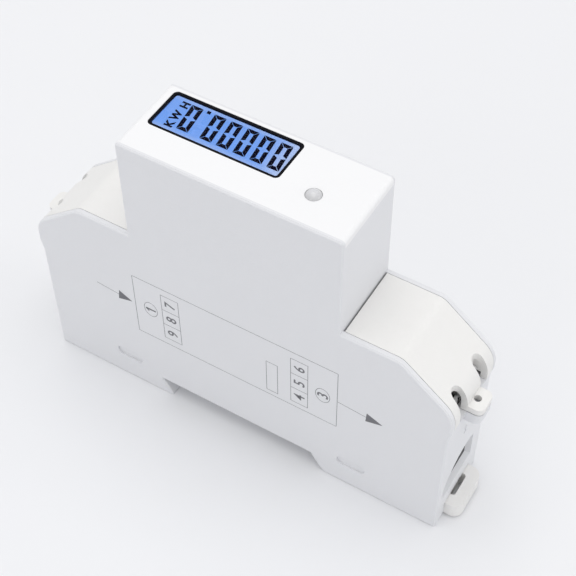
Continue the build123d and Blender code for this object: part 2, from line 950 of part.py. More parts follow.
def din_clip():
    """Sliding clip: hooked nose, two spring arms and a slotted pull tab."""
    half = clip_width / 2
    mouth = clip_mouth_half - clip_clearance
    step = clip_lip_height + clip_clearance
    clip = block(clip_start, clip_tip, -half, half, step, clip_top)
    clip += block(clip_start, end_wall, -mouth, mouth, clip_foot, step)
    clip += block(end_wall, clip_tip, -half, half, clip_foot, clip_top)
    clip += clip_hook()
    corners = [e for e in clip.edges().filter_by(Axis.Z) if e.center().X > clip_tip - seam]
    clip = fillet(corners, clip_tail_round)
    slot = Pos(clip_tip - clip_slot_inset, 0) * Rot(0, 0, 90) * SlotOverall(clip_slot_length, clip_slot_width)
    clip -= extrude(slot, amount=clip_top + overcut)
    arm_x = clip_start + clip_arm_start
    slit_y = mouth - clip_arm_width - clip_arm_slit / 2
    for y in (-slit_y, slit_y):
        clip -= block(
            arm_x, arm_x + clip_arm_length,
            y - clip_arm_slit / 2, y + clip_arm_slit / 2,
            0, clip_top + overcut,
        )
    return clip


def write(name, shape):
    """Write one piece to its own file."""
    shape.label = name
    export_step(shape, "parts/" + name + ".step")


def main():
    """Write every piece: the case and what it carries, then the two ends."""
    os.makedirs("parts", exist_ok=True)
    middle = (
        near_case_cover, far_case_body, front_cap,
        display_bezel, display_window, lcd_panel, lcd_backlight, display_board, pulse_lamp,
        main_board, board_header, film_capacitor, electrolytic_capacitor, varistor,
        metering_chip, microcontroller, optocouplers, crystal, supply_inductor,
        current_shunt, sense_pins, din_clip,
    )
    for piece in middle:
        write(piece.__name__, piece())
    for piece in (current_bar, terminal_screw, terminal_cage):
        write("right_" + piece.__name__, piece())
        write("left_" + piece.__name__, mirrored(piece()))
    for piece in (terminal_cover, aux_block, aux_contacts):
        write("right_" + piece.__name__, piece())
        write("left_" + piece.__name__, turned(piece()))
    for index, y in enumerate(aux_places()):
        right = str(4 + index)
        left = str(4 + aux_count + index)
        write("aux_screw_" + right, aux_screw(y))
        write("aux_cage_" + right, aux_cage(y))
        write("aux_screw_" + left, turned(aux_screw(y)))
        write("aux_cage_" + left, turned(aux_cage(y)))


main()
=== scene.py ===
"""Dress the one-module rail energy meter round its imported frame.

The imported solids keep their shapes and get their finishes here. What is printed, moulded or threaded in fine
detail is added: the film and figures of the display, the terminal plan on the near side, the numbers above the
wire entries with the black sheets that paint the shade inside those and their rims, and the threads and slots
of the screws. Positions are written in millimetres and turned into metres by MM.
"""
import json
import logging
import math
from dataclasses import dataclass, field
from enum import Enum

import bmesh
import bpy
import numpy as np
from mathutils import Matrix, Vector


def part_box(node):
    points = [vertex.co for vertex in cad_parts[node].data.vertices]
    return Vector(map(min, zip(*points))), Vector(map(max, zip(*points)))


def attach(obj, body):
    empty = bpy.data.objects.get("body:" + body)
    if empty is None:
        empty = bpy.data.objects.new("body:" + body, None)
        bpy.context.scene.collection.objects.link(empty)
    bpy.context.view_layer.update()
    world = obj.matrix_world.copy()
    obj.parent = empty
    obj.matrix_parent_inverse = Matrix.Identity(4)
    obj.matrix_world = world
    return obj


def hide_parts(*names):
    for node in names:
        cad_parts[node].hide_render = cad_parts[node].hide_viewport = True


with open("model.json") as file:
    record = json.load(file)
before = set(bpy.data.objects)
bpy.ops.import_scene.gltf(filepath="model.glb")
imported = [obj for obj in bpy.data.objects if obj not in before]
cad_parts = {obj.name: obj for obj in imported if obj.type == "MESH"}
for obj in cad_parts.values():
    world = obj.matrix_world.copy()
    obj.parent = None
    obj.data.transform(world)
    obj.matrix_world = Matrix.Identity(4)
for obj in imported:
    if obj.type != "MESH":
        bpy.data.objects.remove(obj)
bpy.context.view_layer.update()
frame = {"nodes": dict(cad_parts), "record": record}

LOG = logging.getLogger("rail_meter")
MM = 0.001
LAMP_RADIUS = 1.5
END_REACH = 45.5
QUARTER_TURN = 90.0
LEAST_CORNER = 0.02
WELD_SHARE = 1e-4
TINY = 1e-9
Colour = tuple[float, float, float]
Point2 = tuple[float, float]
Point3 = tuple[float, float, float]


# ---------------------------------------------------------------- surfaces as arrays


class Faces(Enum):
    """How the rows of a lofted surface are closed."""

    CAPPED = "first and last row are filled"
    WRAPPED = "the last row joins the first"


@dataclass
class Surface:
    """A mesh kept as arrays until it becomes a piece."""

    points: list[np.ndarray] = field(default_factory=list)
    faces: list[list[int]] = field(default_factory=list)
    count: int = 0

    def add(self, points: np.ndarray, faces: list[list[int]]) -> None:
        """Append one closed shape.

        Args:
            points: its corners, one row of three each.
            faces: its faces, as indices into those rows.
        """
        self.points.append(np.asarray(points, float).reshape(-1, 3))
        self.faces.extend([[corner + self.count for corner in face] for face in faces])
        self.count += len(self.points[-1])

    def loft(self, rows: np.ndarray, closing: Faces = Faces.CAPPED) -> None:
        """Append a surface carried through rows of points.

        Row r and column c give corner r * columns + c. Each cell joins a corner to its right and upper
        neighbours, and columns always close on themselves.

        Args:
            rows: array of rows by columns by 3, counter-clockwise as seen from the last row.
            closing: how the first and last rows end.
        """
        count, columns, _ = rows.shape
        index = np.arange(count * columns).reshape(count, columns)
        right = np.roll(index, -1, axis=1)
        if closing is Faces.WRAPPED:
            above, above_right = np.roll(index, -1, axis=0), np.roll(right, -1, axis=0)
            cells = np.stack([index, right, above_right, above], -1)
        else:
            cells = np.stack([index[:-1], right[:-1], right[1:], index[1:]], -1)
        faces = cells.reshape(-1, 4).tolist()
        if closing is Faces.CAPPED:
            faces += [index[0][::-1].tolist(), index[-1].tolist()]
        self.add(rows, faces)

    def piece(self, name: str, smooth_angle: float = 0.0) -> bpy.types.Object:
        """Make the Blender object.

        Args:
            name: the piece's name.
            smooth_angle: faces that meet at less than this many degrees are shaded smooth.

        Returns:
            The object, at the origin.
        """
        mesh = bpy.data.meshes.new(name)
        mesh.from_pydata(np.concatenate(self.points).tolist(), [], self.faces)
        mesh.update()
        if smooth_angle > 0:
            mesh.polygons.foreach_set("use_smooth", np.ones(len(mesh.polygons), bool))
            mesh.set_sharp_from_angle(angle=math.radians(smooth_angle))
        piece = bpy.data.objects.new(name, mesh)
        bpy.context.scene.collection.objects.link(piece)
        return piece


@dataclass(frozen=True)
class ArtPlane:
    """A flat face of the meter that carries print or moulded marks.

    A mark at (a, b) with height h lies at origin + a * across + b * up + h * outward.
    """

    origin: Point3
    across: Point3
    up: Point3
    outward: Point3

    def place(self, flat: np.ndarray, height: np.ndarray | float) -> np.ndarray:
        """Carry flat points in millimetres to the face.

        Args:
            flat: array of points, two columns.
            height: height above the face, one value or one per point.

        Returns:
            Array of points in metres, three columns.
        """
        height = np.broadcast_to(np.asarray(height, float), flat.shape[:-1])
        spread = flat[..., :1] * np.array(self.across) + flat[..., 1:] * np.array(self.up)
        return (np.array(self.origin) + spread + height[..., None] * np.array(self.outward)) * MM


RIGHT_END = ArtPlane((END_REACH, 0, 0), (0, 1, 0), (0, 0, 1), (1, 0, 0))
LEFT_END = ArtPlane((-END_REACH, 0, 0), (0, -1, 0), (0, 0, 1), (-1, 0, 0))


def rounded_loop(length: float, width: float, radius: float, steps: int = 5) -> np.ndarray:
    """A rectangle with quarter-circle corners, counter-clockwise about its centre.

    Corner k has its centre at the inset corner, and its points turn from k * 90 to (k + 1) * 90 degrees.

    Args:
        length: size along the first axis.
        width: size along the second axis.
        radius: radius of the corners.
        steps: points in each corner.

    Returns:
        The loop, two columns.
    """
    turn = np.linspace(0, np.pi / 2, steps)
    quarter = np.arange(4)[:, None] * np.pi / 2 + turn[None, :]
    side = np.array([[1, 1], [-1, 1], [-1, -1], [1, -1]]) * (np.array([length, width]) / 2 - radius)
    arcs = np.stack([np.cos(quarter), np.sin(quarter)], -1) * radius
    return (side[:, None, :] + arcs).reshape(-1, 2)


def circle_loop(radius: float, steps: int = 32) -> np.ndarray:
    """A circle about the origin, counter-clockwise."""
    turn = np.arange(steps) * 2 * np.pi / steps
    return np.stack([np.cos(turn), np.sin(turn)], -1) * radius


@dataclass
class FlatArt:
    """Thin marks on one face, gathered into one surface."""

    plane: ArtPlane
    proud: float
    sunk: float
    surface: Surface = field(default_factory=Surface)

    def filled(self, loop: np.ndarray) -> None:
        """A filled mark: the loop carried from sunk to proud.

        Args:
            loop: counter-clockwise outline in millimetres.
        """
        rows = np.stack([self.plane.place(loop, -self.sunk), self.plane.place(loop, self.proud)])
        self.surface.loft(rows)

    def ring(self, outer: np.ndarray, inner: np.ndarray) -> None:
        """A mark between two loops of as many points: outer wall, face, inner wall and back.

        Args:
            outer: counter-clockwise outline in millimetres.
            inner: the loop inside it, turning the same way.
        """
        rows = [
            self.plane.place(outer, -self.sunk), self.plane.place(outer, self.proud),
            self.plane.place(inner, self.proud), self.plane.place(inner, -self.sunk),
        ]
        self.surface.loft(np.stack(rows), Faces.WRAPPED)

    def frame(self, low: Point2, high: Point2, line: float, corner: float) -> None:
        """A rectangle drawn with a line of one width.

        Args:
            low: lower left corner, in the middle of the line.
            high: upper right corner, in the middle of the line.
            line: width of the line.
            corner: outer radius of the corners.
        """
        size = np.array(high) - np.array(low)
        middle = (np.array(high) + np.array(low)) / 2
        outer = rounded_loop(size[0] + line, size[1] + line, corner) + middle
        inner = rounded_loop(size[0] - line, size[1] - line, max(corner - line / 2, LEAST_CORNER)) + middle
        self.ring(outer, inner)

    def stroke(self, start: Point2, end: Point2, line: float) -> None:
        """A straight line with square ends.

        Args:
            start: middle of its first end.
            end: middle of its other end.
            line: its width.
        """
        low, high = np.array(start), np.array(end)
        along = (high - low) / np.linalg.norm(high - low)
        side = np.array([-along[1], along[0]]) * line / 2
        self.filled(np.array([low - side, high - side, high + side, low + side]))

    def oval(self, centre: Point2, half: Point2, line: float) -> None:
        """An oval: the unit circle stretched to two sizes, a line's width apart.

        Args:
            centre: its middle.
            half: its two half widths, to the middle of the line.
            line: width of the line.
        """
        middle, reach, unit = np.array(centre), np.array(half), circle_loop(1.0)
        self.ring(unit * (reach + line / 2) + middle, unit * (reach - line / 2) + middle)

    def arrow(self, start: Point2, neck: Point2, tip: Point2, half: float, line: float) -> None:
        """A line with a filled triangular head at its end.

        Args:
            start: where the line begins.
            neck: where it meets the head.
            tip: point of the head.
            half: half the head's width.
            line: width of the line.
        """
        self.stroke(start, neck, line)
        base, point = np.array(neck), np.array(tip)
        along = (point - base) / np.linalg.norm(point - base)
        side = np.array([-along[1], along[0]]) * half
        self.filled(np.array([base - side, point, base + side]))

    def words(self, text: str, centre: Point2, height: float, turn: float, swell: float = 0.0) -> None:
        """Lettering about a centre.

        Args:
            text: the figures or letters.
            centre: middle of the text, in millimetres.
            height: size of the letters, in millimetres.
            turn: turn of the reading direction from across, in degrees.
            swell: how much bolder the strokes are, as a share of the size.
        """
        points, faces = letter_mesh(text, height, (self.proud + self.sunk) / 2, swell)
        angle = math.radians(turn)
        spin = np.array([[math.cos(angle), math.sin(angle)], [-math.sin(angle), math.cos(angle)]])
        flat = points[:, :2] @ spin + np.array(centre)
        self.surface.add(self.plane.place(flat, points[:, 2] + (self.proud - self.sunk) / 2), faces)


def letter_mesh(
    text: str, height: float, half_depth: float, swell: float
) -> tuple[np.ndarray, list[list[int]]]:
    """Letters as a closed mesh about their middle.

    Args:
        text: the letters.
        height: size of the letters.
        half_depth: half their thickness.
        swell: how much bolder the strokes are, as a share of the size.

    Returns:
        The points, three columns, and the faces.
    """
    curve = bpy.data.curves.new("letters", "FONT")
    curve.body, curve.size = text, height
    curve.align_x, curve.align_y = "CENTER", "CENTER"
    curve.extrude, curve.resolution_u = half_depth, 3
    curve.offset = swell * height
    holder = bpy.data.objects.new("letters", curve)
    bpy.context.scene.collection.objects.link(holder)
    mesh = bpy.data.meshes.new_from_object(holder.evaluated_get(bpy.context.evaluated_depsgraph_get()))
    shell = bmesh.new()
    shell.from_mesh(mesh)
    bmesh.ops.remove_doubles(shell, verts=shell.verts, dist=height * WELD_SHARE)
    bmesh.ops.recalc_face_normals(shell, faces=shell.faces)
    shell.to_mesh(mesh)
    shell.free()
    points = np.zeros(len(mesh.vertices) * 3, np.float32)
    mesh.vertices.foreach_get("co", points)
    points = points.reshape(-1, 3).astype(float)
    faces = [list(polygon.vertices) for polygon in mesh.polygons]
    middle = (points.max(0) + points.min(0)) / 2
    points[:, :2] -= middle[:2]
    bpy.data.objects.remove(holder)
    bpy.data.curves.remove(curve)
    bpy.data.meshes.remove(mesh)
    return points, faces


# ---------------------------------------------------------------- finishes


class NodeTree:
    """A few calls that add and join shader nodes in one tree."""

    def __init__(self, tree: bpy.types.NodeTree) -> None:
        """Take over an empty or cleared tree."""
        self.tree = tree
        self.tree.nodes.clear()

    def fill(self, node: bpy.types.Node, inputs: dict[str | int, object]) -> None:
        """Fill some inputs of a node.

        Args:
            node: the node.
            inputs: for each input a socket, which is joined to it, or a number, a place or a colour.
        """
        for name, value in inputs.items():
            slot = node.inputs[name]
            if isinstance(value, bpy.types.NodeSocket):
                self.tree.links.new(value, slot)
            elif slot.type == "RGBA":
                slot.default_value = (*value, 1.0)
            else:
                slot.default_value = value

    def node(
        self, kind: str, inputs: dict[str | int, object] | None = None, **settings: object
    ) -> bpy.types.Node:
        """Add a node.

        Args:
            kind: Blender's name of its type.
            inputs: what its inputs are filled with.
            settings: its plain properties, which are set first.

        Returns:
            The node.
        """
        made = self.tree.nodes.new(kind)
        for name, value in settings.items():
            setattr(made, name, value)
        self.fill(made, inputs or {})
        return made

    def maths(
        self, operation: str, first: object, second: object = 0.5, clamp: bool = False
    ) -> bpy.types.NodeSocket:
        """A Math node whose inputs are sockets or plain numbers.

        Args:
            operation: Blender's name of the operation.
            first: the first input.
            second: the second input.
            clamp: whether the result is kept from 0 to 1.

        Returns:
            The output socket.
        """
        made = self.node("ShaderNodeMath", {0: first, 1: second}, operation=operation, use_clamp=clamp)
        return made.outputs[0]

    def ramp(self, value: bpy.types.NodeSocket, low: float, high: float) -> bpy.types.NodeSocket:
        """Smoothly stretch a part of a value's range to 0..1.

        Args:
            value: the value.
            low: what becomes 0.
            high: what becomes 1.

        Returns:
            The output socket.
        """
        inputs = {"From Min": low, "From Max": high, "Value": value}
        return self.node("ShaderNodeMapRange", inputs, interpolation_type="SMOOTHSTEP").outputs["Result"]

    def place(self) -> bpy.types.NodeSocket:
        """The object coordinates."""
        return self.node("ShaderNodeTexCoord").outputs["Object"]

    def span(self, share: bpy.types.NodeSocket, low: float, high: float) -> bpy.types.NodeSocket:
        """The number low + share * (high - low), for a share from 0 to 1."""
        return self.maths("ADD", self.maths("MULTIPLY", share, high - low), low)

    def centred(self, centre: Point3, half: Point3) -> bpy.types.Node:
        """Object coordinates moved to a centre and divided by a half size, taken apart.

        Args:
            centre: where all three are 0, in metres.
            half: how far from there each of them is 1, in metres.

        Returns:
            The node with outputs X, Y and Z.
        """
        inputs = {"Location": centre, "Scale": half, "Vector": self.place()}
        moved = self.node("ShaderNodeMapping", inputs, vector_type="TEXTURE")
        return self.node("ShaderNodeSeparateXYZ", {"Vector": moved.outputs["Vector"]})

    def blend(self, share: object, first: object, second: object) -> bpy.types.NodeSocket:
        """Mix two colours by a share.

        Args:
            share: how much of the second colour, a socket or a number.
            first: a socket or a plain colour.
            second: a socket or a plain colour.

        Returns:
            The output socket.
        """
        made = self.node("ShaderNodeMix", {0: share, 6: first, 7: second}, data_type="RGBA")
        return made.outputs[2]

    def noise(self, scale: object, detail: float, stretch: Point3 = (1.0, 1.0, 1.0)) -> bpy.types.NodeSocket:
        """Noise on object coordinates.

        Args:
            scale: its frequency, a socket or a number.
            detail: how many finer layers it has.
            stretch: factor on the frequency along each axis.

        Returns:
            The output socket.
        """
        mapped = self.node("ShaderNodeMapping", {"Scale": stretch, "Vector": self.place()}).outputs["Vector"]
        made = self.node("ShaderNodeTexNoise", {"Detail": detail, "Scale": scale, "Vector": mapped})
        return made.outputs["Fac"]

    def bump(self, height: bpy.types.NodeSocket, depth: float, strength: float) -> bpy.types.NodeSocket:
        """A shading normal from a height.

        Args:
            height: the height, from 0 to 1.
            depth: how deep a height of 1 is, in metres.
            strength: how strongly it shows.

        Returns:
            The output socket.
        """
        made = self.node("ShaderNodeBump", {"Distance": depth, "Strength": strength, "Height": height})
        return made.outputs["Normal"]


class Effects:
    """Shader groups that several finishes share."""

    drift_scale: float = 46.0
    drift_share: float = 0.75
    pit_range: Point2 = (0.35, 0.68)
    line_stretch: Point3 = (0.06, 1.0, 1.0)
    line_gloss: float = 0.3
    patch_scale: float = 160.0
    patch_range: Point2 = (0.4, 0.7)
    patch_gloss: float = 0.22
    dust_tone: Colour = (0.62, 0.60, 0.56)
    dust_facing: Point2 = (0.3, 1.0)
    dust_scale: float = 300.0
    dust_range: Point2 = (0.45, 0.8)

    def __init__(self) -> None:
        """Build each group once."""
        self.moulded = self._moulded()
        self.drawn = self._drawn()
        self.dust = self._dust()

    @staticmethod
    def _group(name: str, inputs: dict[str, str], outputs: dict[str, str]) -> tuple:
        """Open a group with named sockets.

        Args:
            name: the group's name.
            inputs: socket types by name.
            outputs: socket types by name.

        Returns:
            The tree, the sockets that its inputs give, and its output node.
        """
        group = bpy.data.node_groups.new(name, "ShaderNodeTree")
        for socket, kind in inputs.items():
            group.interface.new_socket(name=socket, in_out="INPUT", socket_type=kind)
        for socket, kind in outputs.items():
            group.interface.new_socket(name=socket, in_out="OUTPUT", socket_type=kind)
        tree = NodeTree(group)
        return tree, tree.node("NodeGroupInput").outputs, tree.node("NodeGroupOutput")

    def _moulded(self) -> bpy.types.NodeTree:
        """Spark-eroded mould grain: fine bumps, a slow drift of tone and of gloss."""
        sockets = {
            "Colour": "NodeSocketColor", "Drift": "NodeSocketColor", "Grain": "NodeSocketFloat",
            "Gloss Low": "NodeSocketFloat", "Gloss High": "NodeSocketFloat",
        }
        results = {"Colour": "NodeSocketColor", "Roughness": "NodeSocketFloat", "Height": "NodeSocketFloat"}
        tree, given, result = self._group("moulded_grain", sockets, results)
        fine = tree.noise(given["Grain"], 2.0)
        broad = tree.noise(self.drift_scale, 3.0)
        slow = tree.maths("MULTIPLY", broad, self.drift_share)
        quick = tree.maths("MULTIPLY", fine, 1.0 - self.drift_share)
        tone = tree.maths("ADD", slow, quick, True)
        ends = {"Value": broad, "To Min": given["Gloss Low"], "To Max": given["Gloss High"]}
        tree.fill(result, {
            "Colour": tree.blend(tone, given["Drift"], given["Colour"]),
            "Roughness": tree.node("ShaderNodeMapRange", ends).outputs["Result"],
            "Height": tree.ramp(fine, *self.pit_range),
        })
        return tree.tree

    def _drawn(self) -> bpy.types.NodeTree:
        """Drawn or turned metal: fine lines along one way and a few duller patches."""
        sockets = {"Colour": "NodeSocketColor", "Dull": "NodeSocketColor", "Lines": "NodeSocketFloat"}
        results = {"Colour": "NodeSocketColor", "Roughness": "NodeSocketFloat", "Height": "NodeSocketFloat"}
        tree, given, result = self._group("drawn_metal", sockets, results)
        lines = tree.noise(given["Lines"], 2.0, self.line_stretch)
        patches = tree.ramp(tree.noise(self.patch_scale, 3.0), *self.patch_range)
        colour = tree.blend(patches, given["Colour"], given["Dull"])
        worn = tree.maths("MULTIPLY", patches, self.patch_gloss)
        gloss = tree.maths("ADD", worn, tree.maths("MULTIPLY", lines, self.line_gloss))
        tree.fill(result, {"Colour": colour, "Roughness": gloss, "Height": lines})
        return tree.tree

    def _dust(self) -> bpy.types.NodeTree:
        """A faint film of dust on faces that look up, patchy as settled dust is."""
        sockets = {"Colour": "NodeSocketColor", "Amount": "NodeSocketFloat"}
        tree, given, result = self._group("settled_dust", sockets, {"Colour": "NodeSocketColor"})
        normal = tree.node("ShaderNodeNewGeometry").outputs["Normal"]
        height = tree.node("ShaderNodeSeparateXYZ", {"Vector": normal}).outputs["Z"]
        up = tree.ramp(height, *self.dust_facing)
        patch = tree.ramp(tree.noise(self.dust_scale, 4.0), *self.dust_range)
        share = tree.maths("MULTIPLY", tree.maths("MULTIPLY", up, patch), given["Amount"], True)
        tree.fill(result, {"Colour": tree.blend(share, given["Colour"], self.dust_tone)})
        return tree.tree


@dataclass(frozen=True)
class Finish:
    """What every finish has: a name and a way to become a material."""

    name: str

    def open(self) -> tuple[bpy.types.Material, NodeTree, bpy.types.Node]:
        """Make an empty material with one Principled shader.

        Returns:
            The material, its tree and the shader node.
        """
        material = bpy.data.materials.new(self.name)
        material.use_nodes = True
        tree = NodeTree(material.node_tree)
        shader = tree.node("ShaderNodeBsdfPrincipled")
        tree.node("ShaderNodeOutputMaterial", {"Surface": shader.outputs["BSDF"]})
        return material, tree, shader


@dataclass(frozen=True)
class Plastic(Finish):
    """A moulded plastic with spark-eroded grain."""

    colour: Colour
    drift: Colour
    grain: float = 2600.0
    gloss: Point2 = (0.42, 0.56)
    depth: float = 0.00003
    strength: float = 0.35
    dust: float = 0.0
    coat: float = 0.0
    specular: float = 0.5

    def build(self, effects: Effects) -> bpy.types.Material:
        """Make the material from the shared grain and dust groups."""
        material, tree, shader = self.open()
        sockets = {
            "Colour": self.colour, "Drift": self.drift, "Grain": self.grain,
            "Gloss Low": self.gloss[0], "Gloss High": self.gloss[1],
        }
        grain = tree.node("ShaderNodeGroup", sockets, node_tree=effects.moulded).outputs
        colour = grain["Colour"]
        if self.dust > 0:
            film = {"Colour": colour, "Amount": self.dust}
            colour = tree.node("ShaderNodeGroup", film, node_tree=effects.dust).outputs["Colour"]
        tree.fill(shader, {
            "Base Color": colour, "Roughness": grain["Roughness"], "Coat Weight": self.coat,
            "Specular IOR Level": self.specular,
            "Normal": tree.bump(grain["Height"], self.depth, self.strength),
        })
        return material


@dataclass(frozen=True)
class Metal(Finish):
    """A drawn, turned or plated metal."""

    colour: Colour
    dull: Colour
    lines: float = 9000.0
    metallic: float = 1.0
    depth: float = 0.00001
    strength: float = 0.2

    def build(self, effects: Effects) -> bpy.types.Material:
        """Make the material from the shared drawn-metal group."""
        material, tree, shader = self.open()
        sockets = {"Colour": self.colour, "Dull": self.dull, "Lines": self.lines}
        drawn = tree.node("ShaderNodeGroup", sockets, node_tree=effects.drawn).outputs
        tree.fill(shader, {
            "Base Color": drawn["Colour"], "Roughness": drawn["Roughness"], "Metallic": self.metallic,
            "Normal": tree.bump(drawn["Height"], self.depth, self.strength),
        })
        return material


@dataclass(frozen=True)
class ClearSheet(Finish):
    """A polished clear window with the faintest wipe marks."""

    tint: Colour
    bend: float = 1.12
    gloss: Point2 = (0.02, 0.07)
    wipe_scale: float = 420.0
    wipe_stretch: Point3 = (0.2, 1.0, 1.0)
    wipe_range: Point2 = (0.55, 0.8)

    def build(self, effects: Effects) -> bpy.types.Material:
        """Make the material: full transmission, gloss broken by long wipe marks."""
        material, tree, shader = self.open()
        wipes = tree.ramp(tree.noise(self.wipe_scale, 3.0, self.wipe_stretch), *self.wipe_range)
        tree.fill(shader, {
            "Base Color": self.tint, "Roughness": tree.span(wipes, *self.gloss),
            "Transmission Weight": 1.0, "IOR": self.bend,
        })
        return material


@dataclass(frozen=True)
class LitGlass(Finish):
    """The back-lit blue glass: deep blue, paler at its right end and along its two long edges."""

    middle: Colour
    edge: Colour
    glow: float
    centre: Point3
    half: Point3
    gloss: Point2 = (0.25, 0.35)
    side_range: Point2 = (0.7, 1.0)
    side_share: float = 0.3
    end_range: Point2 = (0.55, 1.05)
    end_share: float = 0.75
    patch_scale: float = 260.0
    patch_range: Point2 = (0.3, 0.75)
    patch_share: float = 0.1

    def build(self, effects: Effects) -> bpy.types.Material:
        """Make the material: two tones mixed by the place on the sheet and a slow unevenness."""
        material, tree, shader = self.open()
        split = tree.centred(self.centre, self.half)
        side = tree.ramp(tree.maths("ABSOLUTE", split.outputs["Y"]), *self.side_range)
        end = tree.ramp(split.outputs["X"], *self.end_range)
        uneven = tree.ramp(tree.noise(self.patch_scale, 2.0), *self.patch_range)
        pale = tree.maths("MULTIPLY", end, self.end_share)
        share = tree.maths("MAXIMUM", tree.maths("MULTIPLY", side, self.side_share), pale)
        share = tree.maths("ADD", share, tree.maths("MULTIPLY", uneven, self.patch_share), True)
        colour = tree.blend(share, self.middle, self.edge)
        tree.fill(shader, {
            "Base Color": colour, "Emission Color": colour, "Emission Strength": self.glow,
            "Roughness": tree.span(uneven, *self.gloss),
        })
        return material


@dataclass(frozen=True)
class Laminate(Finish):
    """Solder-masked board: tracks under the mask and bright pads."""

    mask: Colour
    track: Colour
    pad: Colour
    gloss: Point2 = (0.32, 0.44)
    depth: float = 0.00003
    strength: float = 0.4
    pad_scale: float = 330.0
    pad_disorder: float = 0.35
    pad_range: Point2 = (0.12, 0.16)
    track_scale: float = 520.0
    track_stretch: Point3 = (1.0, 1.0, 0.12)
    track_range: Point2 = (0.49, 0.52)

    def build(self, effects: Effects) -> bpy.types.Material:
        """Make the material: bands of track from stretched noise, and pads at the centres of a cell pattern."""
        material, tree, shader = self.open()
        grid = {"Scale": self.pad_scale, "Randomness": self.pad_disorder, "Vector": tree.place()}
        cells = tree.node("ShaderNodeTexVoronoi", grid, distance="MANHATTAN", feature="F1")
        dots = tree.maths("SUBTRACT", 1.0, tree.ramp(cells.outputs["Distance"], *self.pad_range))
        run = tree.ramp(tree.noise(self.track_scale, 1.0, self.track_stretch), *self.track_range)
        base = tree.blend(run, self.mask, self.track)
        tree.fill(shader, {
            "Base Color": tree.blend(dots, base, self.pad), "Roughness": tree.span(run, *self.gloss),
            "Normal": tree.bump(run, self.depth, self.strength),
        })
        return material


@dataclass(frozen=True)
class Lens(Finish):
    """The lamp's milky dome: pale resin, with painted shade that darkens it towards its rim."""

    colour: Colour
    drift: Colour
    # painted shade: the darker tone that the dome's rim is painted with
    rim: Colour
    centre: Point3
    radius: float
    coat: float = 0.5
    gloss: Point2 = (0.14, 0.22)
    cloud_scale: float = 700.0
    cloud_range: Point2 = (0.3, 0.7)
    rim_shade_range: Point2 = (0.55, 1.0)

    def build(self, effects: Effects) -> bpy.types.Material:
        """Make the material: slow clouds in the tone, mixed to a painted shade tone away from the axis."""
        material, tree, shader = self.open()
        cloud = tree.ramp(tree.noise(self.cloud_scale, 2.0), *self.cloud_range)
        split = tree.centred(self.centre, (self.radius,) * 3)
        across = tree.maths("POWER", split.outputs["X"], 2.0)
        along = tree.maths("POWER", split.outputs["Y"], 2.0)
        distance = tree.maths("SQRT", tree.maths("ADD", across, along))
        # painted shade: the dome is darkened from its axis out to its rim
        ring = tree.ramp(distance, *self.rim_shade_range)
        milky = tree.blend(cloud, self.colour, self.drift)
        tree.fill(shader, {
            "Base Color": tree.blend(ring, milky, self.rim), "Roughness": tree.span(cloud, *self.gloss),
            "Coat Weight": self.coat,
        })
        return material


@dataclass(frozen=True)
class Floor(Finish):
    """The pale studio floor, which runs out into the backdrop's own tone."""

    colour: Colour
    backdrop: Colour
    near: float
    far: float
    shade: float = 0.985
    drift_scale: float = 3.0
    roughness: float = 0.9
    specular: float = 0.1

    def build(self, effects: Effects) -> bpy.types.Material:
        """Make the material: matt with a slow drift of tone, and far out the backdrop's own tone."""
        material, tree, shader = self.open()
        output = next(node for node in tree.tree.nodes if node.type == "OUTPUT_MATERIAL")
        path = tree.node("ShaderNodeLightPath").outputs
        seen = tree.maths("MAXIMUM", path["Is Camera Ray"], path["Is Glossy Ray"])
        distance = tree.node("ShaderNodeVectorMath", {0: tree.place()}, operation="LENGTH").outputs["Value"]
        fade = tree.maths("MULTIPLY", tree.ramp(distance, self.near, self.far), seen)
        glow = tree.node("ShaderNodeEmission", {"Color": self.backdrop}).outputs["Emission"]
        mixed = tree.node("ShaderNodeMixShader", {0: fade, 1: shader.outputs["BSDF"], 2: glow})
        tree.fill(output, {"Surface": mixed.outputs["Shader"]})
        darker = tuple(value * self.shade for value in self.colour)
        tree.fill(shader, {
            "Base Color": tree.blend(tree.noise(self.drift_scale, 1.0), darker, self.colour),
            "Roughness": self.roughness, "Specular IOR Level": self.specular,
        })
        return material


